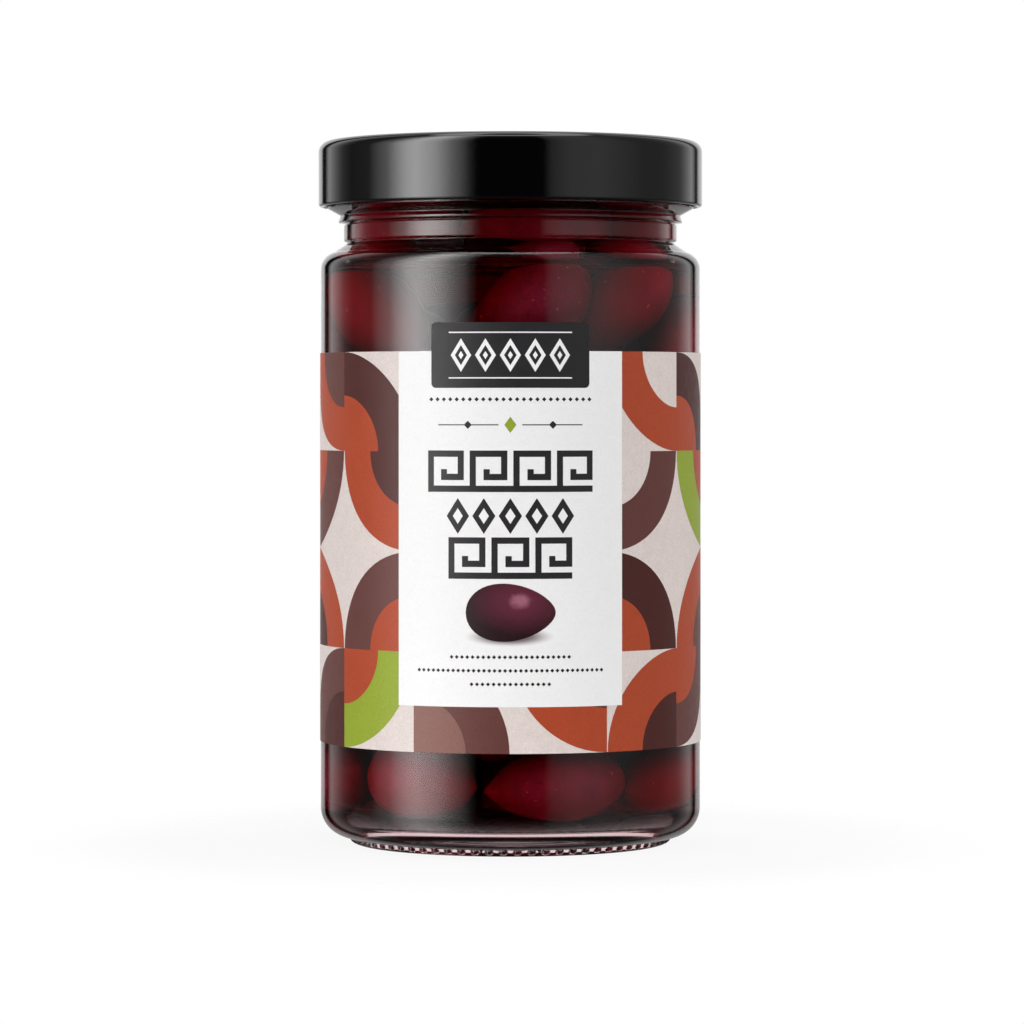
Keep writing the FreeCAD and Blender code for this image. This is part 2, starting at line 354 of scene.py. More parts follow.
def rounded(corners):
    """Points (radius, height) along an outline whose corners are (radius, height, rounding)."""
    points = []
    for index, (radius, height, rounding) in enumerate(corners):
        corner = Vector((radius, height))
        if rounding == 0:
            points.append(corner)
            continue
        back = (Vector(corners[index - 1][:2]) - corner).normalized()
        ahead = (Vector(corners[index + 1][:2]) - corner).normalized()
        half = back.angle(ahead) / 2
        centre = corner + (back + ahead).normalized() * (rounding / math.sin(half))
        start = corner + back * (rounding / math.tan(half)) - centre
        sweep = math.pi - 2 * half
        if start.x * back.y - start.y * back.x > 0:
            sweep = -sweep
        steps = max(2, math.ceil(abs(sweep) / ARC_STEP))
        for step in range(steps + 1):
            angle = math.atan2(start.y, start.x) + sweep * step / steps
            points.append(centre + Vector((math.cos(angle), math.sin(angle))) * rounding)
    return hold_edges(points)


def hold_edges(points, gap=0.6 * MM):
    """Adds a ring near both ends of each long run, so that its shading stays flat."""
    held = [points[0]]
    for start, end in zip(points, points[1:]):
        run = end - start
        if run.length > 4 * gap:
            held.append(start + run.normalized() * gap)
            held.append(end - run.normalized() * gap)
        held.append(end)
    return held


def ring_stretch(ring, number, total):
    """The vertices of a ring that the face with that number touches. A ring of one is a pole."""
    if len(ring) == 1:
        return [ring[0]]
    share = len(ring) // total
    return [ring[(number * share + step) % len(ring)] for step in range(share + 1)]


def lathe(outline, count_at=None, swell=None):
    """Turns an outline round Z. Gives the vertices, the faces and the outline run that each face is on.

    count_at gives the vertices in the ring at a radius and height, swell how far a vertex moves out.
    """
    vertices, faces, runs, rings = [], [], [], []
    for radius, height in outline:
        count = 1 if radius < 0.01 * MM else (count_at(radius, height) if count_at else SEGMENTS)
        rings.append(range(len(vertices), len(vertices) + count))
        for step in range(count):
            angle = TURN * step / count
            out = radius + (swell(angle, radius, height) if swell else 0.0)
            vertices.append((out * math.cos(angle), out * math.sin(angle), height))
    for number, (low, high) in enumerate(zip(rings, rings[1:])):
        total = max(len(low), len(high)) if 1 in (len(low), len(high)) else min(len(low), len(high))
        for step in range(total):
            faces.append(ring_stretch(low, step, total) + ring_stretch(high, step, total)[::-1])
            runs.append(number)
    return vertices, faces, runs


def piece(name, vertices, faces, finishes, picks=None, stands_for=None, sharp=32.0):
    """A smooth mesh piece on the jar's body. picks gives each face's finish."""
    mesh = bpy.data.meshes.new(name)
    mesh.from_pydata(vertices, [], faces)
    for finish in finishes:
        mesh.materials.append(finish)
    if picks is not None:
        mesh.polygons.foreach_set("material_index", picks)
    mesh.shade_smooth()
    mesh.set_sharp_from_angle(angle=math.radians(sharp))
    mesh.update()
    made = bpy.data.objects.new(name, mesh)
    bpy.context.scene.collection.objects.link(made)
    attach(made, BODY)
    if stands_for:
        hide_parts(stands_for)
    return made


# ---------------------------------------------------------------- glass

RIM = GLASS_BOX[1].z
JAR_RADIUS = GLASS_BOX[1].x
FOOT_HEIGHT = 1.3 * MM
FINISH_RADIUS = 33.2 * MM
FOOT_SLOPE = 0.7 * MM
FOOT_ROWS = 9
PUSH_UP = (12.0 * MM, 2.9 * MM)
BEARING_RING = [(27.0 * MM, 1.1 * MM, 0.8 * MM), (28.2 * MM, 0.0, 0.4 * MM)]
BEARING_ROUND = 0.35 * MM
FLOOR = (12.0 * MM, 6.6 * MM)
FLOOR_EDGE = 4.2 * MM
BASE_ROUND = 5.0 * MM
INSIDE_ROUND = 4.2 * MM
INSIDE_SHOULDER_ROUND = 1.2 * MM
SHOULDER_RISE = 1.2 * MM
NECK_CONE = {"out": 2.7 * MM, "up": 0.9 * MM, "round": 0.5 * MM}
RIM_ROUND = 1.5 * MM
STIPPLE = {"radius": 0.8 * MM, "ring": 30.0 * MM, "height": 0.92 * MM}
LEAD = {
    "low": 124.0 * MM, "high": 125.8 * MM, "rise": 1.3 * MM,
    "half": math.radians(31), "ramp": math.radians(3),
}

# From the shoulder up to the lid: radius, height, rounding, in millimetres.
NECK_STEPS = [
    (31.25, 114.9, 0.15),
    (32.0, 115.3, 0.3),
    (32.0, 118.25, 0.2),
    (31.3, 118.5, 0.1),
    (33.1, 118.8, 0.2),
    (32.65, 120.15, 0.25),
    (35.2, 121.55, 0.15),
    (35.2, 122.0, 0.2),
    (33.2, 122.5, 0.2),
]


def inner_corners(glass, level, grow=0.0):
    """The jar's inside from the neck down to the middle of the floor, grown outwards by grow."""
    inner = JAR_RADIUS - glass.wall
    shoulder = glass.shoulder - glass.wall
    return [
        (glass.mouth + grow, level, 0),
        (glass.mouth + grow, shoulder + SHOULDER_RISE + grow, INSIDE_ROUND - grow),
        (inner + grow, shoulder + grow, INSIDE_SHOULDER_ROUND),
        (inner + grow, FLOOR_EDGE - grow, INSIDE_ROUND + grow),
        (FLOOR[0], FLOOR[1] - grow, BASE_ROUND),
        (0.0, FLOOR[1] - grow, 0),
    ]


def outer_corners(glass):
    """The jar's outside, from the middle of its push-up to the sealing rim."""
    foot_top = glass.foot + FOOT_SLOPE
    corners = [(0.0, PUSH_UP[1], 0), (*PUSH_UP, BASE_ROUND), *BEARING_RING, (glass.foot, 0.0, BEARING_ROUND)]
    for row in range(2, FOOT_ROWS):
        share = row / FOOT_ROWS
        corners.append((glass.foot + (foot_top - glass.foot) * share, FOOT_HEIGHT * share, 0))
    corners += [
        (foot_top, FOOT_HEIGHT, 0),
        (JAR_RADIUS, FOOT_HEIGHT, glass.heel_round),
        (JAR_RADIUS, glass.shoulder, glass.shoulder_round),
        (glass.neck + NECK_CONE["out"], glass.shoulder + NECK_CONE["up"], NECK_CONE["round"]),
    ]
    corners += [(radius * MM, height * MM, rounding * MM) for radius, height, rounding in NECK_STEPS]
    for share in (0.0, 0.2, 0.7, 1.0):
        corners.append((FINISH_RADIUS, LEAD["low"] + (LEAD["high"] - LEAD["low"]) * share, 0))
    return corners + [(FINISH_RADIUS, RIM, RIM_ROUND), (glass.mouth, RIM, RIM_ROUND)]


def glass_swell(glass):
    """How far the foot's stipples and the thread leads stand out from the turned glass."""

    def stand_out(angle, radius, height):
        if height <= FOOT_HEIGHT and radius > glass.foot:
            pitch = TURN / glass.stipples
            along = (angle % pitch - pitch / 2) * STIPPLE["ring"]
            up = height - STIPPLE["height"]
            depth = STIPPLE["radius"] ** 2 - along**2 - up**2
            return max(0.0, math.sqrt(max(0.0, depth)) - (radius - STIPPLE["ring"]))
        if LEAD["low"] < height < LEAD["high"] and abs(radius - FINISH_RADIUS) < 0.01 * MM:
            quarter = math.pi / 2
            from_middle = abs((angle + quarter / 2) % quarter - quarter / 2)
            return LEAD["rise"] * min(1.0, max(0.0, (LEAD["half"] - from_middle) / LEAD["ramp"]))
        return 0.0

    return stand_out


def make_glass(glass):
    level = BRINE_BOX[1].z
    corners = outer_corners(glass)
    outline = rounded(corners + inner_corners(glass, level))
    fine = 4 * SEGMENTS

    def count_at(radius, height):
        is_foot = 0.05 * MM < height < FOOT_HEIGHT + 0.01 * MM and glass.foot - 0.1 * MM < radius < 31 * MM
        return fine if is_foot else SEGMENTS

    vertices, faces, runs = lathe(outline, count_at, glass_swell(glass))
    inside_from = max(number for number, point in enumerate(outline) if point.y > RIM - 0.01 * MM)
    picks = []
    for run in runs:
        is_wet = run > inside_from and outline[run].y < level + 0.01 * MM
        picks.append(1 if is_wet else 0)
    finishes = [glass_finish("clear_glass", True), glass_finish("wetted_glass", False)]
    piece("jar_glass", vertices, faces, finishes, picks, "glass_jar", sharp=50.0)


# ---------------------------------------------------------------- lid


PANEL_SLOPE = 0.9 * MM
PANEL_STEP = 0.1 * MM
PANEL_ROUND = 0.5 * MM
CURL = {"depth": 1.1 * MM, "height": 1.15 * MM, "round": 0.5 * MM}


def make_lid(lid):
    low, high, radius = LID_BOX[0].z, LID_BOX[1].z, LID_BOX[1].x
    panel = high - lid.panel_depth
    inner_panel = lid.panel + PANEL_STEP
    curl = radius - CURL["depth"]
    corners = [
        (0.0, panel - lid.sheet, 0),
        (inner_panel, panel - lid.sheet, 0),
        (inner_panel + PANEL_SLOPE, high - lid.sheet, 0),
        (radius - lid.sheet, high - lid.sheet, lid.rim_round - lid.sheet),
        (radius - lid.sheet, low + CURL["height"], 0),
        (curl, low + CURL["height"], CURL["round"]),
        (curl, low, CURL["round"]),
        (radius, low, CURL["round"]),
        (radius, high, lid.rim_round),
        (lid.panel + PANEL_SLOPE, high, PANEL_ROUND),
        (lid.panel, panel, PANEL_ROUND),
        (0.0, panel, 0),
    ]
    vertices, faces, _ = lathe(rounded(corners))
    finish = lacquer_finish(lid)
    piece("lid_shell", vertices, faces, [finish], stands_for="lid")
    for number in range(lid.lugs):
        middle = number * TURN / lid.lugs + TURN / 4
        make_lug(f"lid_lug_{number + 1}", middle, curl, low, finish)


# Section of a lug at its middle: out from the curl's edge and up from the lid's foot, in millimetres.
LUG_SECTION = [
    (0.35, 0.3), (-0.6, 0.8), (-1.15, 0.85), (-1.4, 1.1), (-1.2, 1.45), (-0.5, 1.5), (0.35, 1.15)
]
LUG_HALF = math.radians(7.5)
LUG_COLUMNS = 16


def make_lug(name, middle, radius, low, finish):
    """One lug: the curl's edge pressed inwards to a rounded tongue."""
    vertices, faces = [], []
    for column in range(LUG_COLUMNS + 1):
        across = 2 * column / LUG_COLUMNS - 1
        share = math.sqrt(max(0.0, 1 - across**4))
        angle = middle + LUG_HALF * across
        for outward, up in LUG_SECTION:
            out = radius + outward * MM * (1 if outward > 0 else share)
            vertices.append((out * math.cos(angle), out * math.sin(angle), low + up * MM))
    count = len(LUG_SECTION)
    for column in range(LUG_COLUMNS):
        for corner in range(count):
            after = (corner + 1) % count
            here, ahead = column * count, (column + 1) * count
            faces.append((here + corner, here + after, ahead + after, ahead + corner))
    faces.append(list(range(count))[::-1])
    faces.append([LUG_COLUMNS * count + corner for corner in range(count)])
    piece(name, vertices, faces, [finish])


# ---------------------------------------------------------------- label

LABEL_RADIUS = LABEL_BOX[1].x
LABEL_LOW = LABEL_BOX[0].z
PAPER = 0.1 * MM
INK_STEP = 0.012 * MM
STRIP = math.radians(1.0)


class FlatShapes:
    """Flat outlines on the unrolled label, (along, height) in metres, cut into strips that follow the jar."""

    def __init__(self):
        self.vertices, self.faces, self.picks, self.flats = [], [], [], []

    def lay(self, outline, layer, pick):
        """Lays one closed outline at a layer above the paper, with the finish numbered pick."""
        sheet = bmesh.new()
        corners = [sheet.verts.new((along, height, 0.0)) for along, height in outline]
        face = sheet.faces.new(corners)
        face.normal_update()
        if face.normal.z < 0:
            bmesh.ops.reverse_faces(sheet, faces=[face])
        bmesh.ops.triangulate(sheet, faces=sheet.faces[:])
        strip = STRIP * LABEL_RADIUS
        low = min(along for along, _ in outline)
        high = max(along for along, _ in outline)
        for number in range(math.ceil(low / strip), math.floor(high / strip) + 1):
            parts = sheet.verts[:] + sheet.edges[:] + sheet.faces[:]
            bmesh.ops.bisect_plane(
                sheet, geom=parts, dist=1e-8, plane_co=(number * strip, 0, 0), plane_no=(1, 0, 0)
            )
        first = len(self.vertices)
        sheet.verts.index_update()
        radius = LABEL_RADIUS + layer * INK_STEP
        for corner in sheet.verts:
            self.vertices.append(round_the_jar(corner.co.x, corner.co.y, radius))
            self.flats.append((corner.co.x, corner.co.y))
        for face in sheet.faces:
            self.faces.append([first + corner.index for corner in face.verts])
            self.picks.append(pick)
        sheet.free()

    def make(self, name, finishes):
        made = piece(name, self.vertices, self.faces, finishes, self.picks)
        keep_flat_places(made, self.flats)
        return made


def round_the_jar(along, height, radius):
    angle = along / LABEL_RADIUS
    return (radius * math.sin(angle), -radius * math.cos(angle), height)


def keep_flat_places(made, flats):
    """Stores each corner's place on the unrolled label as a UV map in metres."""
    layer = made.data.uv_layers.new(name="flat")
    for loop in made.data.loops:
        layer.data[loop.index].uv = flats[loop.vertex_index]


def arc_points(centre, radius, start, end, steps=18):
    """Points on an arc, with start and end in degrees."""
    points = []
    for step in range(steps + 1):
        angle = math.radians(start + (end - start) * step / steps)
        points.append((centre[0] + radius * math.cos(angle), centre[1] + radius * math.sin(angle)))
    return points


def rectangle(left, low, right, high):
    return [(left, low), (right, low), (right, high), (left, high)]


def soft_rectangle(left, low, right, high, rounding, only_top=False):
    """A rectangle with its corners rounded, or only its upper ones."""
    points = arc_points((right - rounding, high - rounding), rounding, 0, 90, 6)
    points += arc_points((left + rounding, high - rounding), rounding, 90, 180, 6)
    if only_top:
        return points + [(left, low), (right, low)]
    points += arc_points((left + rounding, low + rounding), rounding, 180, 270, 6)
    points += arc_points((right - rounding, low + rounding), rounding, 270, 360, 6)
    return points


def lozenge(along, height, wide, tall):
    return [
        (along - wide / 2, height),
        (along, height - tall / 2),
        (along + wide / 2, height),
        (along, height + tall / 2),
    ]


def label_outline(label):
    """The whole sheet: a band that leaves a gap at the back, with the tab standing up at the front."""
    half = (TURN - label.gap_angle) / 2 * LABEL_RADIUS
    top = LABEL_BOX[1].z - label.tab_rise
    tab = label.tab_width / 2
    rounding = 0.9 * MM
    points = [(-half, LABEL_LOW), (half, LABEL_LOW), (half, top), (tab, top)]
    points += arc_points((tab - rounding, LABEL_BOX[1].z - rounding), rounding, 0, 90, 6)
    points += arc_points((rounding - tab, LABEL_BOX[1].z - rounding), rounding, 90, 180, 6)
    points += [(-tab, top), (-half, top)]
    return points


def make_paper(label, inks):
    """The sheet itself, with a front, a back and its cut edges."""
    front = FlatShapes()
    front.lay(label_outline(label), 0, 0)
    count = len(front.vertices)
    back_radius = LABEL_RADIUS - PAPER
    vertices = front.vertices + [round_the_jar(*flat, back_radius) for flat in front.flats]
    faces = front.faces + [[count + corner for corner in face[::-1]] for face in front.faces]
    used = {}
    for face in front.faces:
        for start, end in zip(face, face[1:] + face[:1]):
            used[(start, end)] = True
    for start, end in used:
        if (end, start) not in used:
            faces.append([start, start + count, end + count, end])
    made = piece("label_paper", vertices, faces, [inks["cream"]], stands_for="label")
    keep_flat_places(made, front.flats * 2)


COLUMNS, ROWS = 12, 4
# One letter for each tile, from the top row down, starting at the back gap.
TILE_INKS = [
    "TBPTDTBTDBTP",
    "BGTBTDTBGTBT",
    "TDBTBTPDTBDG",
    "DTTBGBTTBPTB",
]
TILE_HEARTS = [
    "DTDBTBGCTTDG",
    "TDCTDGBCTDPB",
    "BTGDTCDTBCTT",
    "TCBDTPBDTGCD",
]
TILE_TURNS = [
    "031203120312",
    "210321032103",
    "132013201320",
    "302130213021",
]
INK_LETTERS = {
    "T": "terracotta", "B": "brown", "P": "pale_brown", "D": "dark_red", "G": "green", "C": "cream"
}


def lay_tile(shapes, left, low, wide, tall, turn, ink, heart):
    """One tile of the pattern: a quarter disc from one corner, with a smaller one inside it."""
    corner_across, corner_up = ((0, 0), (1, 0), (1, 1), (0, 1))[turn]
    centre = (left + corner_across * wide, low + corner_up * tall)
    start = 90 * turn
    for layer, share, pick in ((1, 1.0, ink), (2, 0.56, heart)):
        radius = share * min(wide, tall)
        shapes.lay([centre] + arc_points(centre, radius, start, start + 90), layer, pick)


def lay_pattern(shapes, label, names):
    wide = (TURN - label.gap_angle) * LABEL_RADIUS / COLUMNS
    top = LABEL_BOX[1].z - label.tab_rise
    tall = (top - LABEL_LOW) / ROWS
    for row in range(ROWS):
        for column in range(COLUMNS):
            ink = names.index(INK_LETTERS[TILE_INKS[row][column]])
            heart = names.index(INK_LETTERS[TILE_HEARTS[row][column]])
            turn = int(TILE_TURNS[row][column])
            left = (column - COLUMNS / 2) * wide
            low = top - (row + 1) * tall
            lay_tile(shapes, left, low, wide, tall, turn, ink, heart)


def lay_line(shapes, points, width, layer, pick):
    """A line of level and upright strokes, which meet without lying over each other."""
    half = width / 2
    for (x1, y1), (x2, y2) in zip(points, points[1:]):
        if abs(y1 - y2) < 0.001 * MM:
            shapes.lay(rectangle(min(x1, x2) - half, y1 - half, max(x1, x2) + half, y1 + half), layer, pick)
        else:
            shapes.lay(rectangle(x1 - half, min(y1, y2) + half, x1 + half, max(y1, y2) - half), layer, pick)


def lay_key_band(shapes, middle, low, unit, count, layer, pick):
    """A Greek key border: count square spirals, each five units wide and four tall."""
    left = middle - (count * 5 - 1.4) * unit / 2
    key = [(0, 0), (0, 4), (3.6, 4), (3.6, 1.35), (1.6, 1.35), (1.6, 2.6)]
    width = 0.72 * unit
    for number in range(count):
        base = left + number * 5 * unit
        points = [(base + across * unit, low + up * unit) for across, up in key]
        lay_line(shapes, points, width, layer, pick)
        reach = 3.6 * unit if number == count - 1 else 5 * unit - width
        lay_line(shapes, [(base, low), (base + reach, low)], width, layer, pick)


# Ornaments of the white panel and its tab, in millimetres.
TAB_HEIGHT, TAB_ROUND = 12.1, 0.9
TAB_LOZENGES = [(3.9, 6.2), (2.3, 3.7), (0.95, 1.5)]  # width and height, each inside the one before
TAB_RULE = {"rise": 4.2, "width": 0.24, "share": 0.77}
KEY_UNIT = 1.62
KEY_BANDS = [(68.4, 4), (52.4, 3)]  # height and how many spirals
PANEL_LOZENGES = [(4.3, 6.6), (1.9, 2.9)]
DOT_ROWS = [(84.9, 15.0, 25, 0.55), (37.4, 11.0, 23, 0.5), (34.9, 17.5, 37, 0.5), (32.4, 7.2, 15, 0.5)]
DIVIDER = {"height": 80.2, "from": 2.2, "to": 13.6, "width": 0.2, "bead": 7.9}


def lay_ornaments(shapes, label, names):
    """Black tab, rules, key bands and lozenges on the white panel."""
    white, black, green = names.index("white"), names.index("black"), names.index("green")
    tab = label.tab_width / 2
    top = LABEL_BOX[1].z
    tab_low = top - TAB_HEIGHT * MM
    panel = label.panel_width / 2
    shapes.lay(rectangle(-panel, label.panel_low, panel, top - label.tab_rise), 3, white)
    shapes.lay(soft_rectangle(-tab, tab_low, tab, top, TAB_ROUND * MM), 4, black)

    middle = (top + tab_low) / 2
    lay_lozenges(shapes, middle, 4.6, TAB_LOZENGES, 5, (white, black))
    for side in (-1, 1):
        height = middle + side * TAB_RULE["rise"] * MM
        reach = TAB_RULE["share"] * tab
        lay_rule(shapes, (-reach, reach), height, TAB_RULE["width"], 5, white)
    lay_lozenges(shapes, 63.4 * MM, 4.9, PANEL_LOZENGES, 4, (black, white))
    for height, count in KEY_BANDS:
        lay_key_band(shapes, 0.0, height * MM, KEY_UNIT * MM, count, 4, black)
    for height, reach, count, size in DOT_ROWS:
        lay_dots(shapes, height * MM, reach * MM, count, size * MM, 4, black)

    height = DIVIDER["height"] * MM
    shapes.lay(lozenge(0.0, height, 2.2 * MM, 3.0 * MM), 4, green)
    for side in (-1, 1):
        ends = sorted((side * DIVIDER["from"] * MM, side * DIVIDER["to"] * MM))
        lay_rule(shapes, ends, height, DIVIDER["width"], 4, black)
        shapes.lay(lozenge(side * DIVIDER["bead"] * MM, height, 1.5 * MM, 1.5 * MM), 5, black)


def lay_rule(shapes, ends, height, width, layer, pick):
    """A thin level line, its width in millimetres."""
    half = width / 2 * MM
    shapes.lay(rectangle(ends[0], height - half, ends[1], height + half), layer, pick)


def lay_lozenges(shapes, height, pitch, sizes, layer, picks):
    """Five lozenges in a level row, each with smaller ones inside it, in two inks that take turns."""
    for number in range(-2, 3):
        for step, (wide, tall) in enumerate(sizes):
            outline = lozenge(number * pitch * MM, height, wide * MM, tall * MM)
            shapes.lay(outline, layer + step, picks[step % 2])


def lay_dots(shapes, height, reach, count, size, layer, pick):
    """A level row of small lozenges, from -reach to reach."""
    for number in range(count):
        along = -reach + 2 * reach * number / (count - 1)
        shapes.lay(lozenge(along, height, size * 1.5, size * 1.5), layer, pick)


OLIVE_PICTURE = {"centre": (-0.1 * MM, 45.6 * MM), "size": (16.4 * MM, 10.6 * MM)}


def lay_olive_picture(shapes, names):
    """The printed olive, lying level with its tip to the right, over its soft shadow."""
    (along, height), (wide, tall) = OLIVE_PICTURE["centre"], OLIVE_PICTURE["size"]
    shadow = []
    outline = []
    for step in range(48):
        angle = TURN * step / 48
        across, up = math.cos(angle), math.sin(angle)
        shadow.append((along + across * wide * 0.55, height - tall * 0.42 + up * tall * 0.19))
        taper = 1 - 0.16 * across
        tip = 1 + 0.04 * max(0.0, across) ** 8
        outline.append((along + across * tip * wide / 2, height + up * taper * tall / 2))
    shapes.lay(shadow, 4, names.index("shadow"))
    shapes.lay(outline, 5, names.index("olive_picture"))
    scar = [(along + wide * 0.44 + 0.35 * MM * x, height - 0.3 * MM + 0.55 * MM * y) for x, y in
            arc_points((0, 0), 1.0, 0, 345, 15)]
    shapes.lay(scar, 6, names.index("dark_red"))


def make_print(label, inks):
    names = list(inks)
    shapes = FlatShapes()
    lay_pattern(shapes, label, names)
    lay_ornaments(shapes, label, names)
    lay_olive_picture(shapes, names)
    shapes.make("label_print", [inks[name] for name in names])


def label_inks(label):
    inks = {}
    for name in ("white", "cream", "terracotta", "brown", "pale_brown", "dark_red", "green", "black"):
        speckle = 0.35 if name == "white" else 1.0
        inks[name] = ink_finish(f"ink_{name}", tuple(getattr(label, name)), speckle)
    centre, size = OLIVE_PICTURE["centre"], OLIVE_PICTURE["size"]
    inks["olive_picture"] = olive_print_finish(centre, size)
    shadow_centre = (centre[0], centre[1] - 0.42 * size[1])
    inks["shadow"] = soft_shadow_finish(label, shadow_centre, (size[0] * 1.1, size[1] * 0.38))
    return inks


# ---------------------------------------------------------------- contents


INTO_WALL = 0.25 * MM
SUNK = 0.7 * MM  # how far the level lies below the edge of the meniscus
MENISCUS = [(0.5 * MM, 0.35 * MM, 0.4 * MM), (3.0 * MM, SUNK, 3.0 * MM)]  # inwards, down, rounding


def make_brine(glass, contents):
    """The liquid, which reaches just into the glass all round, with a low meniscus at its top."""
    level = BRINE_BOX[1].z
    side = glass.mouth + INTO_WALL
    corners = inner_corners(glass, level, INTO_WALL)[::-1]
    corners += [(side - inwards, level - down, rounding) for inwards, down, rounding in MENISCUS]
    corners += [(0.0, level - SUNK, 0)]
    vertices, faces, _ = lathe(rounded(corners))
    piece("brine_body", vertices, faces, [brine_finish(contents)], stands_for="brine")


# Olives that rest against the glass where the label leaves it bare. Place of the middle, the way the
# stem end points (both across, towards the back, up), length and width; millimetres.
SHOWN_OLIVES = [
    ((2.9, -24.7, 101.6), (0.69, -0.10, 0.66), 26.5, 16.4),
    ((19.2, -16.4, 102.6), (0.60, 0.30, 0.60), 23.0, 14.2),
    ((-22.4, -11.4, 101.0), (-0.45, 0.6, 0.55), 26.0, 15.6),
    ((-15.2, -20.2, 13.5), (-0.80, 0.50, 0.06), 20.5, 16.4),
    ((8.2, -24.9, 13.0), (0.94, 0.30, 0.06), 24.6, 14.6),
    ((23.5, -6.0, 14.1), (0.30, 0.9, 0.20), 25.0, 15.0),
    ((5.0, -20.6, 117.0), (0.98, 0.16, 0.02), 26.0, 14.6),
    ((-17.1, -11.6, 116.6), (-0.75, 0.62, 0.05), 24.0, 14.0),
    ((19.5, -4.0, 116.8), (0.30, 0.94, 0.0), 24.0, 14.4),
]
# Balls that stand for an olive while the jar is filled: places as shares of half its length, and widths.
GRIP = (-0.55, -0.28, 0.0, 0.28, 0.55)
GRIP_WIDTH = (0.76, 0.95, 1.0, 0.95, 0.76)
ROUNDS = 420
SINKING_ROUNDS = 0.8 * ROUNDS
SINK = 0.35 * MM
SHOVE = 0.36  # share of an overlap that each of two balls gives way in one round
LOWEST, HIGHEST = 14 * MM, 118 * MM
SPARE = 0.3 * MM  # room left between an olive and the glass
NARROWING = (6 * MM, 7 * MM)  # where the room narrows to the neck: start below the shoulder, height
UNDER_LEVEL = 2 * MM


def settle_olives(glass, contents):
    """Drops the olives into the jar and lets them find room. Gives middles, ways, lengths and widths.

    Each olive is five balls on a stiff rod. The balls push each other apart and back off the glass,
    then each rod is fitted to its balls again.
    """
    draw = np.random.default_rng(17)
    shown = len(SHOWN_OLIVES)
    count = contents.count
    lengths = contents.length * draw.uniform(0.92, 1.07, count)
    widths = contents.width * draw.uniform(0.93, 1.06, count)
    middles = np.zeros((count, 3))
    ways = draw.normal(size=(count, 3)) * (1.0, 1.0, 0.6)
    angle = draw.uniform(0, TURN, count)
    out = (JAR_RADIUS - 12 * MM) * np.sqrt(draw.uniform(0, 1, count))
    middles[:, 0] = out * np.cos(angle)
    middles[:, 1] = out * np.sin(angle)
    for number, (middle, way, length, width) in enumerate(SHOWN_OLIVES):
        middles[number] = np.array(middle) * MM
        ways[number] = way
        lengths[number] = length * MM
        widths[number] = width * MM
    middles[shown:, 2] = np.linspace(LOWEST, HIGHEST, count - shown)
    ways /= np.linalg.norm(ways, axis=1, keepdims=True)
    fixed_middles, fixed_ways = middles[:shown].copy(), ways[:shown].copy()

    offsets = lengths[:, None] / 2 * np.array(GRIP)
    radii = (widths[:, None] / 2 * np.array(GRIP_WIDTH)).ravel()
    owner = np.repeat(np.arange(count), len(GRIP))
    apart = owner[:, None] != owner[None, :]
    reach = radii[:, None] + radii[None, :]
    spread = (offsets**2).sum(1)
    for turn in range(ROUNDS):
        balls = (middles[:, None] + ways[:, None] * offsets[..., None]).reshape(-1, 3)
        if turn < SINKING_ROUNDS:
            balls[:, 2] -= SINK
        for _ in range(2):
            gaps = balls[:, None] - balls[None, :]
            far = np.sqrt((gaps**2).sum(2)) + 1e-9
            push = np.where(apart & (far < reach), (reach - far) / far, 0.0)
            balls += SHOVE * (gaps * push[..., None]).sum(1)
            keep_inside(balls, radii, glass)
        balls = balls.reshape(count, len(GRIP), 3)
        middles = balls.mean(1)
        ways = ((balls - middles[:, None]) * offsets[..., None]).sum(1) / spread[:, None]
        ways /= np.linalg.norm(ways, axis=1, keepdims=True)
        middles[:shown], ways[:shown] = fixed_middles, fixed_ways
    return middles, ways, lengths, widths


def keep_inside(balls, radii, glass):
    """Moves balls that reach into the glass, the floor or the air above the brine back inside."""
    inner = JAR_RADIUS - glass.wall - SPARE
    throat = glass.mouth - SPARE
    shoulder = glass.shoulder - glass.wall
    rise = np.clip((balls[:, 2] - (shoulder - NARROWING[0])) / NARROWING[1], 0, 1)
    limit = inner + (throat - inner) * rise - radii
    out = np.hypot(balls[:, 0], balls[:, 1]) + 1e-9
    scale = np.minimum(1.0, limit / out)
    balls[:, 0] *= scale
    balls[:, 1] *= scale
    floor = FLOOR[1] + 0.2 * MM + radii
    balls[:, 2] = np.clip(balls[:, 2], floor, BRINE_BOX[1].z - UNDER_LEVEL - radii)


OLIVE_ROWS, OLIVE_COLUMNS = 30, 36
# Lumps round an olive: size, how many round it, how far the start wanders, twist along it.
LUMPS = [(0.022, 1, 3, 0), (0.016, 2, 3, 2), (0.010, 3, 5, -3)]
TIP_START = 0.86
STEM_DIMPLE = 0.9 * MM


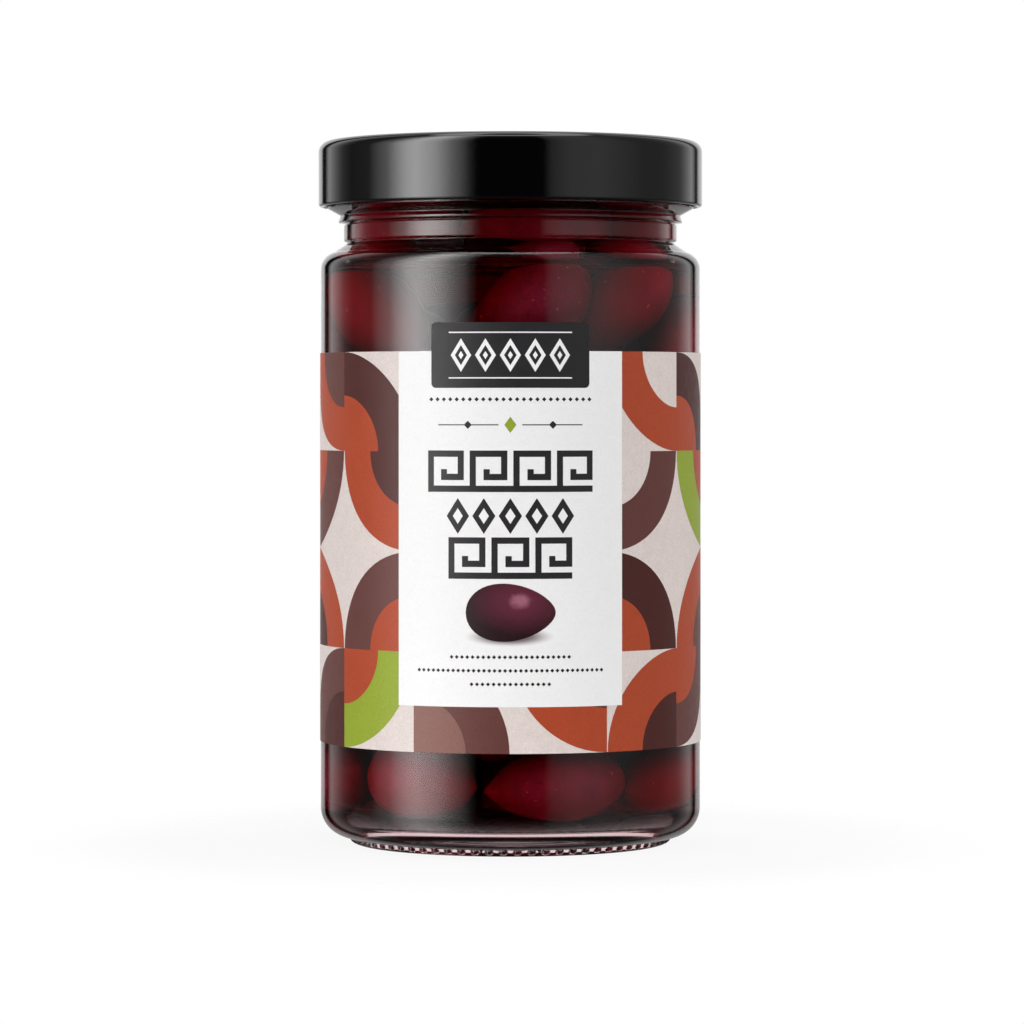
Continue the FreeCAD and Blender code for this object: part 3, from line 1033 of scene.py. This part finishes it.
def olive_surface(length, width, draw):
    """Points of one olive along X, from the stem scar to the tip, and how much each is scar."""
    rows, scars = [], []
    lumps = draw.uniform(-1, 1, 6)
    bend = draw.uniform(0.01, 0.05) * length
    tip = draw.uniform(0.5, 1.4) * MM
    scar_radius = draw.uniform(0.9, 1.3) * MM
    for row in range(OLIVE_ROWS + 1):
        share = row / OLIVE_ROWS
        along = -math.cos(math.pi * share**1.06)
        radius = math.sqrt(max(0.0, 1 - along * along)) ** 1.06
        radius *= 1 - 0.10 * along - 0.05 * along * along
        x = along * length / 2
        near_tip = max(0.0, along - TIP_START) / (1 - TIP_START)
        x += tip * near_tip**3
        radius *= width / 2 * (1 - 0.25 * near_tip**2)
        from_stem = max(0.0, 1 - radius / scar_radius) if along < 0 else 0.0
        x += STEM_DIMPLE * from_stem**0.7
        ring = []
        columns = 1 if row in (0, OLIVE_ROWS) else OLIVE_COLUMNS
        for column in range(columns):
            angle = TURN * column / columns
            lump = 1.0
            for number, (size, around, wander, twist) in enumerate(LUMPS):
                high, start = lumps[2 * number:2 * number + 2]
                lump += size * high * math.sin(around * angle + wander * start + twist * along)
            y = radius * lump * math.cos(angle) + bend * (1 - along * along)
            ring.append((x, y, radius * lump * math.sin(angle)))
        rows.append(ring)
        scars.append(min(1.0, 2.2 * from_stem))
    return rows, scars


def make_olives(glass, contents):
    middles, ways, lengths, widths = settle_olives(glass, contents)
    draw = np.random.default_rng(5)
    vertices, faces, tones, scars = [], [], [], []
    for middle, way, length, width in zip(middles, ways, lengths, widths):
        rows, row_scars = olive_surface(length, width, draw)
        tone = draw.uniform(-0.15, 0.75)
        roll = draw.uniform(0, TURN)
        forward = -Vector(way)
        side = forward.cross(Vector((0, 0, 1))).normalized()
        up = side.cross(forward)
        across = side * math.cos(roll) + up * math.sin(roll)
        over = forward.cross(across)
        rings = []
        for ring, scar in zip(rows, row_scars):
            rings.append(range(len(vertices), len(vertices) + len(ring)))
            for x, y, z in ring:
                vertices.append(Vector(middle) + forward * x + across * y + over * z)
                tones.append(tone)
                scars.append(scar)
        for low, high in zip(rings, rings[1:]):
            for step in range(OLIVE_COLUMNS):
                stretch = ring_stretch(high, step, OLIVE_COLUMNS)
                faces.append(ring_stretch(low, step, OLIVE_COLUMNS) + stretch[::-1])
    made = piece("olives", vertices, faces, [olive_finish(contents)], sharp=180.0)
    for name, values in (("tone", tones), ("scar", scars)):
        made.data.attributes.new(name, "FLOAT", "POINT").data.foreach_set("value", values)


# ---------------------------------------------------------------- stage

# Radiance of the studio at the height of the jar, as (degrees from the camera's side, level). Left of
# the camera is negative. Two tall soft boxes stand to the sides, with dark gaps before the backdrop.
STUDIO_LEVELS = [
    (-180, 1.0), (-156, 1.0), (-153, 0.01), (-146, 0.01), (-139, 1.15), (-120, 0.25), (-110, 0.1),
    (-93, 0.2), (-78, 1.7), (-65, 6.4), (-58, 7.9), (-46, 5.8), (-35, 2.3), (-29, 1.2), (-24, 0.28),
    (-20, 0.0), (20, 0.003), (25, 0.4), (36, 0.67), (54, 0.72), (87, 0.30), (103, 0.25), (122, 0.36),
    (139, 1.15), (147, 0.01), (150, 0.01), (155, 1.0), (180, 1.0),
]
BRIGHTEST = 8.2
CORE = 0.22  # height, in the sphere of directions, up to which the soft boxes are brightest
SKIRT = 0.2  # how bright the soft boxes are above and below that
CEILING, GROUND = 0.6, 0.4
# The glass and the lacquer mirror the soft boxes taller than they light the jar, dimmer below the
# horizon, with less of the ceiling and the ground, and with a lamp high above.
MIRRORED_LOW = 0.42
MIRRORED_ENDS = 0.15
OVERHEAD = 3.0
# Heights in the sphere of directions, from straight down at -1 to straight up at 1, between which each
# part of the studio fades.
FADES = {
    "soft box top": (0.7, 0.9),
    "soft box foot": (-0.5, -0.25),
    "mirrored top": (0.84, 0.94),
    "mirrored middle": (-0.14, 0.0),
    "mirrored foot": (-0.88, -0.45),
    "ceiling": (0.6, 0.9),
    "ground": (-0.5, -0.2),
    "overhead start": (0.89, 0.93),
    "overhead end": (0.975, 0.99),
}
# Soft fill from (degrees from the camera's side, degrees up), and the level it adds to a surface facing it.
FILLS = [(12, 25, 0.42), (100, 25, 0.40), (-140, 25, 0.35)]
FILL_SPREAD = math.radians(50)


def round_the_studio(nodes, parts):
    """The studio's level by the compass, as a share of the brightest."""
    ahead = nodes.math("MULTIPLY", parts["Y"], -1.0)
    angle = nodes.math("ARCTAN2", parts["X"], ahead)
    place = nodes.math("MULTIPLY_ADD", angle, 1 / TURN, 0.5)
    ramp = nodes.add("ShaderNodeValToRGB", {"Fac": place})
    elements = ramp.color_ramp.elements
    for degrees, level in STUDIO_LEVELS:
        if abs(degrees) < 180:
            element = elements.new(0.5 + degrees / 360)
        else:
            element = elements[0] if degrees < 0 else elements[-1]
        element.color = (level / BRIGHTEST, level / BRIGHTEST, level / BRIGHTEST, 1.0)
    return ramp.outputs["Color"]


def studio_level(nodes, path, light):
    """Radiance of the studio in every direction."""
    direction = nodes.add("ShaderNodeTexCoord").outputs["Generated"]
    parts = nodes.add("ShaderNodeSeparateXYZ", {0: direction}).outputs
    mirrored = nodes.mirrored(path)

    def fade(name, low, high):
        return nodes.spread(parts["Z"], *FADES[name], low, high, smooth=True)

    def product(*factors):
        result = factors[0]
        for factor in factors[1:]:
            result = nodes.math("MULTIPLY", result, factor)
        return result

    from_horizon = nodes.math("DIVIDE", nodes.math("ABSOLUTE", parts["Z"]), CORE)
    core = nodes.spread(from_horizon, 0.0, 1.0, 1.0, SKIRT, smooth=True)
    soft_box = product(core, fade("soft box top", 1.0, 0.0), fade("soft box foot", 0.0, 1.0))
    tall = product(fade("mirrored top", 1.0, 0.0), fade("mirrored middle", MIRRORED_LOW, 1.0))
    tall = product(tall, fade("mirrored foot", 0.0, 1.0))
    walls = nodes.add("ShaderNodeMix", {"Factor": mirrored, "A": soft_box, "B": tall}).outputs[0]
    lit = product(round_the_studio(nodes, parts), walls, BRIGHTEST * light)
    ends = nodes.math("ADD", fade("ceiling", 0.0, CEILING * light), fade("ground", GROUND * light, 0.0))
    calm = nodes.math("MULTIPLY_ADD", mirrored, MIRRORED_ENDS - 1, 1.0)
    overhead = product(fade("overhead start", 0.0, OVERHEAD), fade("overhead end", 1.0, 0.0), mirrored)
    return nodes.math("ADD", nodes.math("ADD", lit, product(ends, calm)), overhead)


def make_world(stage):
    """A white backdrop for the camera, and the studio's soft boxes for everything else."""
    world = bpy.data.worlds.new("studio")
    bpy.context.scene.world = world
    world.use_nodes = True
    world.node_tree.nodes.clear()
    nodes = Nodes(world.node_tree)
    path = nodes.add("ShaderNodeLightPath").outputs
    level = studio_level(nodes, path, stage.light)
    studio = nodes.add("ShaderNodeBackground", {"Color": level, "Strength": 1.0})
    white = nodes.add("ShaderNodeBackground", {"Color": (1, 1, 1, 1), "Strength": 1.0})
    mixed = nodes.add(
        "ShaderNodeMixShader", {0: path["Is Camera Ray"], 1: studio.outputs[0], 2: white.outputs[0]}
    )
    nodes.add("ShaderNodeOutputWorld", {"Surface": mixed.outputs[0]})


def make_fills(stage):
    """Broad fill light that brings out colour but leaves no highlight on glass or lacquer."""
    for number, (degrees, up, level) in enumerate(FILLS):
        lamp = bpy.data.lights.new(f"fill_{number + 1}", "SUN")
        lamp.energy = math.pi * level * stage.light
        lamp.angle = FILL_SPREAD
        holder = bpy.data.objects.new(lamp.name, lamp)
        holder.rotation_euler = (math.radians(90 - up), 0.0, math.radians(degrees))
        holder.visible_glossy = False
        holder.visible_transmission = False
        bpy.context.scene.collection.objects.link(holder)


STAGE_RADIUS = 100 * MM
STAGE_FADE = (62 * MM, 98 * MM)  # where the floor gives way to the backdrop
PAINTED_FOOT_SHADOW = (20 * MM, 28 * MM)  # painted shadow under the jar: there the floor has next to no glow
FLOOR_GLOW = 0.88


def floor_finish(stage):
    """Pale floor that keeps the jar's shadow and fades into the backdrop. Its glow carries a painted shadow
    under the jar.
    """
    finish = Finish("pale_floor")
    finish.set(Base_Color=(*stage.floor, 1.0), Roughness=0.8, Specular_IOR_Level=0.0)
    path = finish.add("ShaderNodeLightPath").outputs
    seen = finish.math("MAXIMUM", path["Is Camera Ray"], path["Is Transmission Ray"])
    share = finish.math("MULTIPLY", seen, FLOOR_GLOW)
    place = finish.add("ShaderNodeTexCoord").outputs["Object"]
    far = finish.vector("LENGTH", place)["Value"]
    # Painted shadow: the floor's glow drops to next to nothing under the jar, where the glass foot shows the
    # floor
    glow_with_painted_foot_shadow = finish.spread(far, *PAINTED_FOOT_SHADOW, 0.06, 1.0, smooth=True)
    glow = finish.add("ShaderNodeEmission", {"Color": (1, 1, 1, 1), "Strength": glow_with_painted_foot_shadow})
    lit = finish.add("ShaderNodeMixShader", {0: share, 1: finish.shader.outputs[0], 2: glow.outputs[0]})
    fade = finish.spread(far, *STAGE_FADE, 0.0, 1.0, smooth=True)
    gone = finish.math("MAXIMUM", fade, finish.mirrored(path))
    clear = finish.add("ShaderNodeBsdfTransparent")
    faded = finish.add("ShaderNodeMixShader", {0: gone, 1: lit.outputs[0], 2: clear.outputs[0]})
    finish.put(faded.outputs[0], finish.output.inputs["Surface"])
    return finish.material


def make_floor(stage):
    rings, columns = 12, 96
    outline = [(STAGE_RADIUS * ring / rings, 0.0) for ring in range(rings, -1, -1)]
    vertices, faces, _ = lathe(outline, lambda radius, height: columns)
    mesh = bpy.data.meshes.new("floor")
    mesh.from_pydata(vertices, [], faces)
    mesh.materials.append(floor_finish(stage))
    floor = bpy.data.objects.new("floor", mesh)
    floor.location.z = -0.02 * MM
    bpy.context.scene.collection.objects.link(floor)


def make_camera(stage):
    camera = bpy.data.cameras.new("camera")
    camera.sensor_width = 36.0
    camera.lens = 156.7
    camera.shift_x = 0.0016
    camera.shift_y = -0.1037
    camera.clip_start = 0.01
    holder = bpy.data.objects.new("camera", camera)
    holder.location = (0.0, -stage.distance, stage.height)
    holder.rotation_euler = (math.pi / 2, 0.0, 0.0)
    bpy.context.scene.collection.objects.link(holder)
    bpy.context.scene.camera = holder


# ---------------------------------------------------------------- operators and panel


class OLIVEJAR_OT_stage(bpy.types.Operator):
    """Sets up the studio light, the pale floor and the camera"""

    bl_idname = "olivejar.stage"
    bl_label = "Stage"

    def execute(self, context):
        stage = context.scene.jar_stage
        context.scene.view_settings.view_transform = "Standard"
        make_world(stage)
        make_fills(stage)
        make_floor(stage)
        make_camera(stage)
        return {"FINISHED"}


class OLIVEJAR_OT_glass(bpy.types.Operator):
    """Builds the glass jar with its neck band, thread leads and stippled foot"""

    bl_idname = "olivejar.glass"
    bl_label = "Glass"

    def execute(self, context):
        make_glass(context.scene.jar_glass)
        return {"FINISHED"}


class OLIVEJAR_OT_lid(bpy.types.Operator):
    """Builds the pressed lid and its lugs"""

    bl_idname = "olivejar.lid"
    bl_label = "Lid"

    def execute(self, context):
        make_lid(context.scene.jar_lid)
        return {"FINISHED"}


class OLIVEJAR_OT_label(bpy.types.Operator):
    """Wraps the paper label round the jar and prints its pattern, panel and ornaments"""

    bl_idname = "olivejar.label"
    bl_label = "Label"

    def execute(self, context):
        label = context.scene.jar_label
        inks = label_inks(label)
        make_paper(label, inks)
        make_print(label, inks)
        return {"FINISHED"}


class OLIVEJAR_OT_brine(bpy.types.Operator):
    """Fills the jar with brine up to its level in the neck"""

    bl_idname = "olivejar.brine"
    bl_label = "Brine"

    def execute(self, context):
        make_brine(context.scene.jar_glass, context.scene.jar_contents)
        return {"FINISHED"}


class OLIVEJAR_OT_olives(bpy.types.Operator):
    """Settles the olives in the jar"""

    bl_idname = "olivejar.olives"
    bl_label = "Olives"

    def execute(self, context):
        make_olives(context.scene.jar_glass, context.scene.jar_contents)
        return {"FINISHED"}


class OLIVEJAR_PT_panel(bpy.types.Panel):
    """Lists the jar's pieces and their settings"""

    bl_idname = "OLIVEJAR_PT_panel"
    bl_label = "Olive Jar"
    bl_space_type = "VIEW_3D"
    bl_region_type = "UI"
    bl_category = "Olive Jar"

    def draw(self, context):
        layout = self.layout
        for operator in OPERATORS:
            layout.operator(operator.bl_idname)
        for name in SETTINGS:
            column = layout.column(heading=name)
            settings = getattr(context.scene, name)
            for item in settings.bl_rna.properties:
                if item.identifier not in ("rna_type", "name"):
                    column.prop(settings, item.identifier)


SETTINGS = {
    "jar_stage": StageSettings,
    "jar_glass": GlassSettings,
    "jar_lid": LidSettings,
    "jar_label": LabelSettings,
    "jar_contents": ContentsSettings,
}
OPERATORS = (
    OLIVEJAR_OT_stage,
    OLIVEJAR_OT_glass,
    OLIVEJAR_OT_lid,
    OLIVEJAR_OT_label,
    OLIVEJAR_OT_brine,
    OLIVEJAR_OT_olives,
)


def register():
    for item in (*SETTINGS.values(), *OPERATORS, OLIVEJAR_PT_panel):
        bpy.utils.register_class(item)
    for name, settings in SETTINGS.items():
        setattr(bpy.types.Scene, name, PointerProperty(type=settings))


def unregister():
    for name in SETTINGS:
        delattr(bpy.types.Scene, name)
    for item in (OLIVEJAR_PT_panel, *reversed(OPERATORS), *reversed(SETTINGS.values())):
        bpy.utils.unregister_class(item)


def main():
    register()
    bpy.ops.olivejar.stage()
    bpy.ops.olivejar.glass()
    bpy.ops.olivejar.lid()
    bpy.ops.olivejar.label()
    bpy.ops.olivejar.brine()
    bpy.ops.olivejar.olives()


if __name__ == "__main__":
    main()
